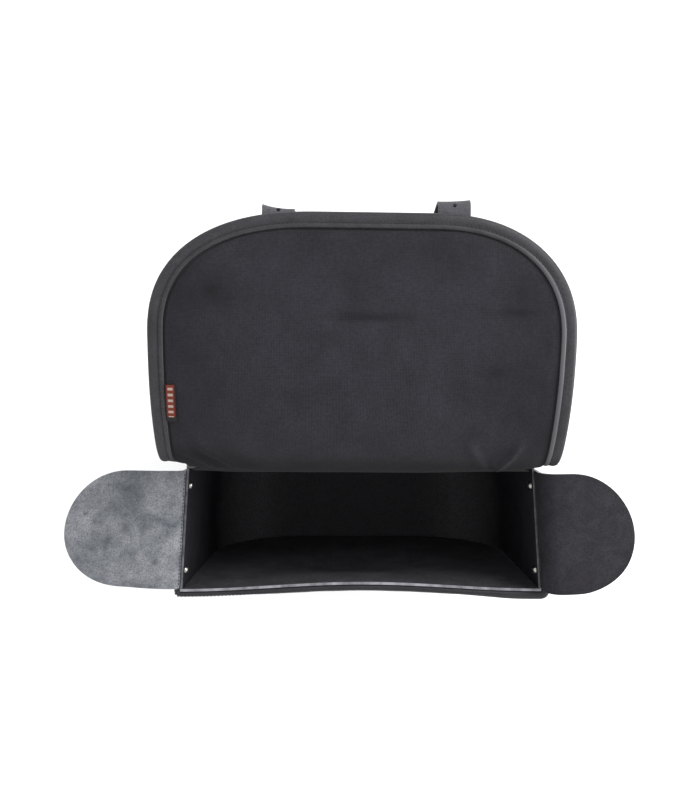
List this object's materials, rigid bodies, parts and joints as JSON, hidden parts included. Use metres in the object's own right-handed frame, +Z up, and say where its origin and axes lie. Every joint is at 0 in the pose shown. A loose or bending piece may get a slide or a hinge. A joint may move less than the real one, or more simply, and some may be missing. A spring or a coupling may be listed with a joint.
{
  "type": "throw-over saddlebag",
  "caption": "Open leather saddlebag with round lower corners, a lined lid folded back, round side ears folded out, and strap and buckle closures.",
  "frame": {"origin": "middle of the flat base that the bag stands on", "axes": "+X along the bag's length to the right, +Y to the back panel and the lid, +Z up"},
  "size_m": [0.6406, 0.4358, 0.4163],
  "materials": {
    "body_leather": "semi-matt black leather with a fine grain",
    "binding_leather": "smoother black leather, worn grey along its edges",
    "ear_flesh_leather": "matt grey flesh side, mottled",
    "ear_grain_leather": "charcoal, matt",
    "strap_leather": "semi-matt black strap leather with grey edges",
    "lining_cloth": "charcoal woven cloth",
    "label_cloth": "rust woven tape with plain pale bars",
    "nickel": "nickel plate, slightly dull"
  },
  "bodies": {
    "root": {"gusset": "body_leather", "front_panel": "body_leather", "back_panel": "body_leather", "front_rim_roll": "binding_leather", "lid_shell": "body_leather", "lid_lining": "lining_cloth", "lid_binding": "binding_leather", "label_tab": "label_cloth", "ear_left": "ear_flesh_leather", "ear_right": "ear_grain_leather", "rivet_left_front": "nickel", "rivet_left_back": "nickel", "rivet_right_front": "nickel", "rivet_right_back": "nickel", "closing_strap_left": "strap_leather", "closing_strap_right": "strap_leather", "buckle_left": "nickel", "buckle_right": "nickel", "chape_left": "strap_leather", "chape_right": "strap_leather", "yoke_loop_left": "strap_leather", "yoke_loop_right": "strap_leather"}
  },
  "joints": []
}
